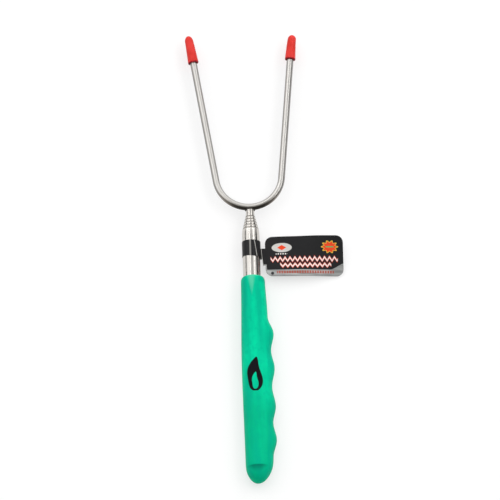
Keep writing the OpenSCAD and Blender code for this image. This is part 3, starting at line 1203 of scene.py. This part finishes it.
def cardPaint(name, printed):
    # Laminated card: black over a silver band that sweeps up at the far end, bare on the back; painted
    # sheen and shade on the band, and a painted highlight on the neck's fold
    paint = newPaint(name)
    chart = paint.coordinates("UV")
    u, v = paint.parts(chart)[:2]
    place = paint.coordinates()
    fibre = paint.noise(place, tag["fibres"], 4, 0.6)
    cloud = paint.noise(place, tag["clouds"], 2)
    (swoop, swoopAt), (corner, cornerAt) = tag["bandSwoop"], tag["bandCorner"]
    edge = tag["bandHeight"] + swoop * u.rise(*swoopAt) + corner * u.rise(*cornerAt)
    band = (edge - v).rise(-tag["bandEdge"], tag["bandEdge"])
    # painted sheen in streaks on the silver, and painted shade towards the card's foot
    sheen = paint.noise(paint.stretched(chart, tag["sheen"]), 1, 2).rise(0.35, 0.7)
    colour = paint.blend(fibre * 0.5 + cloud * 0.5, tag["black"], tag["worn"])
    silver = paint.blend(sheen * v.rise(0.0, 0.035), tag["silverDeep"], tag["silver"])
    colour = paint.blend(band, colour, silver)
    # a painted highlight along the fold of the neck
    wide, tall = tag["cardSize"]
    foot, head = tag["neckFold"]
    low, high = (0.5 + (end + tag["cardDrop"]) / tall for end in tag["neckReach"])
    rise = (v - low) / (high - low)
    fold = (u * wide + foot + (head - foot) * rise).near(0, *tag["foldLine"]) * u.rise(0, -0.004)
    colour = paint.blend(fold * tag["foldShare"], colour, tag["edge"])
    if printed:
        colour = printOn(paint, colour, u * (wide / mm), v * (tall / mm))
    shader = paint.surface(
        Base_Color=colour,
        Metallic=band * tag["bandShine"],
        Roughness=tag["rough"] + tag["wear"] * cloud,
        Specular_IOR_Level=0.12,
        Normal=paint.bump(fibre + cloud * 2, tag["relief"], 0.3),
    )
    return paint.finish(shader)


def plainPaint(name, colour, worn, rough, crease=None):
    # Lamination, bare board and punched metal: one colour with a faint mottle towards another, and on
    # the strap a painted highlight along its top
    paint = newPaint(name)
    place = paint.coordinates()
    mottle = paint.noise(place, tag["plainMottle"], 4, 0.6)
    shade = paint.blend(mottle.rise(0.3, 0.75), colour, worn)
    if crease:
        x, z = paint.parts(place)[::2]
        # painted highlight along the top of the strap
        paintedHighlight = x.near(*crease) * z.rise(0, 0.001)
        shade = paint.blend(paintedHighlight * tag["creaseShare"], shade, tag["creaseColour"])
    shader = paint.surface(
        Base_Color=shade,
        Roughness=rough + 0.15 * mottle,
        Specular_IOR_Level=0.15,
        Normal=paint.bump(mottle, tag["plainRelief"], 0.4),
    )
    return paint.finish(shader)


strapPaint = plainPaint("strapBlack", tag["black"], tag["worn"], 0.24, tag["crease"])
edgeAndHighlightPaint = plainPaint("cutEdge", tag["edge"], tag["cutEdge"], 0.5)


def makeSleeve(name, radius, reach):
    # An open tube round the shaft, in rows along it, left open for editing
    low, high = (strapMiddle + end for end in reach)
    turn = (pi / 2, 0, 0)
    bpy.ops.mesh.primitive_circle_add(
        vertices=tag["strapSides"], radius=radius, location=(0, low, 0), rotation=turn
    )
    piece = takeUp(bpy.context.object, name)
    bpy.ops.object.transform_apply(location=True, rotation=True, scale=True)
    openUp(piece)
    for row in range(tag["strapRows"]):
        extrude((0, (high - low) / tag["strapRows"], 0))
    return piece


def makeStrap():
    piece = makeSleeve("tagStrap", tag["strapRadius"], tag["strapReach"])
    low = strapMiddle + tag["strapReach"][0]
    slant = radians(tag["strapSlant"])
    pick(piece, "VERT", lambda v: v.co.y < low + hair)
    bpy.ops.transform.rotate(value=slant, orient_axis="Z", center_override=(0, low, 0))
    resize((1 / cos(slant), 1, 1), (0, low, 0))
    closeUp(piece)
    addModifier(piece, "SOLIDIFY", thickness=tag["strapThick"], offset=0)
    return settle(piece, strapPaint, "tag", ["hang_tag"], tag["sharp"])


def angleRound(place):
    return degrees(atan2(place.x, place.z))


def makeWrap():
    # The strap's outer end, with a pale border along its slanted edge, partly cut edge and partly
    # painted highlight
    radius, (low, high) = tag["wrapRadius"], tag["wrapReach"]
    piece = makeSleeve("tagWrap", radius, tag["wrapReach"])
    piece.data.materials.append(strapPaint)
    piece.data.materials.append(edgeAndHighlightPaint)
    edgeColumn, borderColumn = tag["wrapColumns"]
    pick(piece, "FACE", lambda f: not edgeColumn < angleRound(f.calc_center_median()) < tag["wrapEnd"])
    bpy.ops.mesh.delete(type="FACE")
    lowAngle, highAngle = tag["wrapFront"]
    for row in range(tag["strapRows"] + 1):
        share = row / tag["strapRows"]
        y = strapMiddle + low + (high - low) * share
        front = lowAngle + (highAngle - lowAngle) * share
        for column, target in ((edgeColumn, front), (borderColumn, front + tag["wrapBorder"])):
            pick(piece, "VERT", lambda v: abs(v.co.y - y) < hair and abs(angleRound(v.co) - column) < 1)
            was, now = radians(column), radians(target)
            shift((radius * (sin(now) - sin(was)), 0, radius * (cos(now) - cos(was))))
    # the border takes the pale edge paint: partly cut edge, partly painted highlight
    pick(piece, "FACE", lambda f: angleRound(f.calc_center_median()) < tag["borderEnd"])
    piece.active_material_index = 1
    bpy.ops.object.material_slot_assign()
    closeUp(piece)
    addModifier(piece, "SOLIDIFY", thickness=tag["wrapThick"], offset=0)
    return settle(piece, None, "tag", ["hang_tag"], tag["sharp"])


def makeCard():
    wide, tall = tag["cardSize"]
    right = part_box("hang_tag")[1].x
    left = right - wide
    middle = strapMiddle - tag["cardDrop"]
    bpy.ops.mesh.primitive_plane_add(size=1, location=((left + right) / 2, middle, 0))
    piece = takeUp(bpy.context.object, "tagCard")
    piece.scale = (wide, tall, 1)
    bpy.ops.object.transform_apply(location=True, rotation=True, scale=True)
    openUp(piece)
    bpy.ops.mesh.bevel(offset=tag["cardCorner"], segments=8, affect="VERTICES")
    columns, rows = tag["cardColumns"], tag["cardRows"]
    neckLow, neckHigh = (strapMiddle + end for end in tag["neckReach"])
    join = strapMiddle + tag["neckJoin"]
    cutAcross(piece, 0, [left + wide * i / columns for i in range(1, columns)])
    levels = [middle + tall * (i / rows - 0.5) for i in range(1, rows)]
    cutAcross(piece, 1, levels + [neckLow, join, neckHigh])
    # the neck: out from the card's near edge to a slanted fold, then down to the strap
    foot, head = tag["neckFold"]

    def onNeck(vertex):
        return abs(vertex.co.x - left) < hair and neckLow - hair < vertex.co.y < neckHigh + hair

    pick(piece, "EDGE", lambda e: all(onNeck(v) for v in e.verts))
    extrude((-foot * tag["neckStart"], 0, tag["neckLift"]))
    extrude((-foot * (1 - tag["neckStart"]), 0, 0))
    for y in sorted({round(v.co.y, 7) for v in bmesh.from_edit_mesh(piece.data).verts if v.select}):
        pick(piece, "VERT", lambda v: abs(v.co.x - left + foot) < hair and abs(v.co.y - y) < hair)
        shift((-(head - foot) * (y - neckLow) / (neckHigh - neckLow), 0, 0))
    outer = left - foot + hair
    pick(piece, "EDGE", lambda e: all(v.co.x < outer and v.co.y > join - hair for v in e.verts))
    for along, up in tag["neckDown"]:
        extrude((along, 0, up))
    # the print's own map, made before the card is bent
    letGo()
    chart = piece.data.uv_layers.active or piece.data.uv_layers.new(name="print")
    for loop in piece.data.loops:
        spot = piece.data.vertices[loop.vertex_index].co
        chart.data[loop.index].uv = ((spot.x - left) / wide, (spot.y - middle) / tall + 0.5)
    # twisted and drooping more and more towards its far end, with a slight bow along it
    openUp(piece)
    spots = sorted({round(v.co.x, 7) for v in bmesh.from_edit_mesh(piece.data).verts})
    for spot in spots:
        share = max(0, (spot - left) / wide)
        pick(piece, "VERT", lambda v: abs(v.co.x - spot) < hair)
        twist = -radians(eased(tag["twist"], share))
        bpy.ops.transform.rotate(value=twist, orient_axis="X", center_override=(spot, middle, 0))
        shift((0, 0, tag["bow"] * sin(pi * share) - eased(tag["droop"], share)))
    letGo()
    takeUp(piece)
    piece.data.materials.append(cardPaint("printedCard", True))
    piece.data.materials.append(cardPaint("cardBack", False))
    piece.data.materials.append(edgeAndHighlightPaint)
    # the second paint on its back and the third round its rim
    thick = tag["cardThick"]
    addModifier(piece, "SOLIDIFY", thickness=thick, offset=0, material_offset=1, material_offset_rim=2)
    return settle(piece, None, "tag", ["hang_tag"], tag["sharp"])


eyelet = {
    "radius": 0.0009,
    "sides": 28,
    "foot": 0.0001,
    "rise": 0.00030,
    "rim": 0.00030,
    "sink": 0.00008,
    "rounding": 0.00003,
    "sharp": 35,
    "dark": (0.02, 0.02, 0.022),
    "pale": (0.05, 0.05, 0.052),
}
eyeletPaint = plainPaint("eyeletDark", eyelet["dark"], eyelet["pale"], 0.4)


def makeEyelet(carrier):
    # A punched rim on the silver band, with a sunk dark middle
    place = placeAt(carrier, imagePoints["eyelet"]) - Vector((0, 0, eyelet["foot"]))
    bpy.ops.mesh.primitive_circle_add(
        vertices=eyelet["sides"], radius=eyelet["radius"], fill_type="NGON", location=place
    )
    piece = takeUp(bpy.context.object, "tagEyelet")
    bpy.ops.object.transform_apply(location=True, rotation=True, scale=True)
    openUp(piece)
    extrude((0, 0, eyelet["foot"] + eyelet["rise"]))
    bpy.ops.mesh.inset(thickness=eyelet["rim"])
    extrude((0, 0, -eyelet["sink"]))
    closeUp(piece)
    addModifier(piece, "BEVEL", width=eyelet["rounding"], segments=2, limit_method="ANGLE")
    return settle(piece, eyeletPaint, "tag", (), eyelet["sharp"])


strapPiece = makeStrap()
wrapPiece = makeWrap()
cardPiece = makeCard()
eyeletPiece = makeEyelet(cardPiece)
print("tag made")


# How far each thing shows from its image point
sift = {
    # in pixels: how far from its point's row a ridge is looked for, how far below its point the
    # grip's mouth is measured, and how far left of the eyelet the card begins
    "ridgeReach": 12,
    "mouthReach": 15.3,
    "cardMargin": 7.5,
    # in metres: how far behind the nose's end its lip is looked for, and how close to a vertex
    # something may lie without hiding it
    "lipDepth": 0.0003,
    "hideGap": 0.0001,
}


def seenPlaces(piece, trees):
    # Where the piece's vertices show, leaving out those that something hides
    start = camera.matrix_world.translation
    places = []
    for vertex in piece.data.vertices:
        way = vertex.co - start
        reach = way.length - sift["hideGap"]
        way.normalize()
        if not any(tree.ray_cast(start, way, reach)[0] for tree in trees):
            places.append(imageOf(vertex.co))
    return places


def middleOf(places):
    across, down = [p[0] for p in places], [p[1] for p in places]
    return (min(across) + max(across)) / 2, (min(down) + max(down)) / 2


def writePoints():
    meshes = [thing for thing in bpy.context.scene.objects if thing.type == "MESH"]
    solid = [piece for piece in meshes if not piece.hide_render and piece.name != "floor"]
    trees = [treeOf(piece) for piece in solid]
    seen = {piece.name: seenPlaces(piece, trees) for piece in solid}
    everything = [place for places in seen.values() for place in places]
    gripSeen = seen[gripPiece.name]
    tagSeen = seen[strapPiece.name] + seen[wrapPiece.name]

    def ridge(point):
        return max(p for p in gripSeen if abs(p[1] - point[1]) < sift["ridgeReach"])

    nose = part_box("base_tube")[1].y - sift["lipDepth"]
    lip = max((v.co for v in nodes["base_tube"].data.vertices if v.co.y > nose), key=lambda p: p.z)
    bend = (metal["bendX"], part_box("section_6")[1].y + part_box("fork")[1].z, 0)
    cardFrom = imagePoints["eyelet"][0] - sift["cardMargin"]
    mouthTo = imagePoints["gripMouth"][1] + sift["mouthReach"]
    mouthSeen = [p for p in gripSeen if p[1] < mouthTo]
    shown = {
        "left": min(p[0] for p in everything),
        "right": max(p[0] for p in everything),
        "top": min(p[1] for p in everything),
        "bottom": max(p[1] for p in everything),
        "leftCap": middleOf(seen[capPieces["left"].name]),
        "rightCap": middleOf(seen[capPieces["right"].name]),
        "bend": imageOf(bend),
        "noseLip": imageOf(lip),
        "strap": middleOf(tagSeen),
        "card": middleOf([p for p in seen[cardPiece.name] if p[0] > cardFrom]),
        "gripMouth": (middleOf(mouthSeen)[0], min(p[1] for p in gripSeen)),
        "frontRidge": ridge(imagePoints["frontRidge"]),
        "rearRidge": ridge(imagePoints["rearRidge"]),
        "tubeEnd": imageOf(tubeEnd),
        "eyelet": middleOf(seen[eyeletPiece.name]),
    }
    for name, place in shown.items():
        point = imagePoints[name]
        if isinstance(point, tuple):
            [round(place[i] - point[i], 1) for i in range(2)]
        else:
            round(place - point, 1)


writePoints()
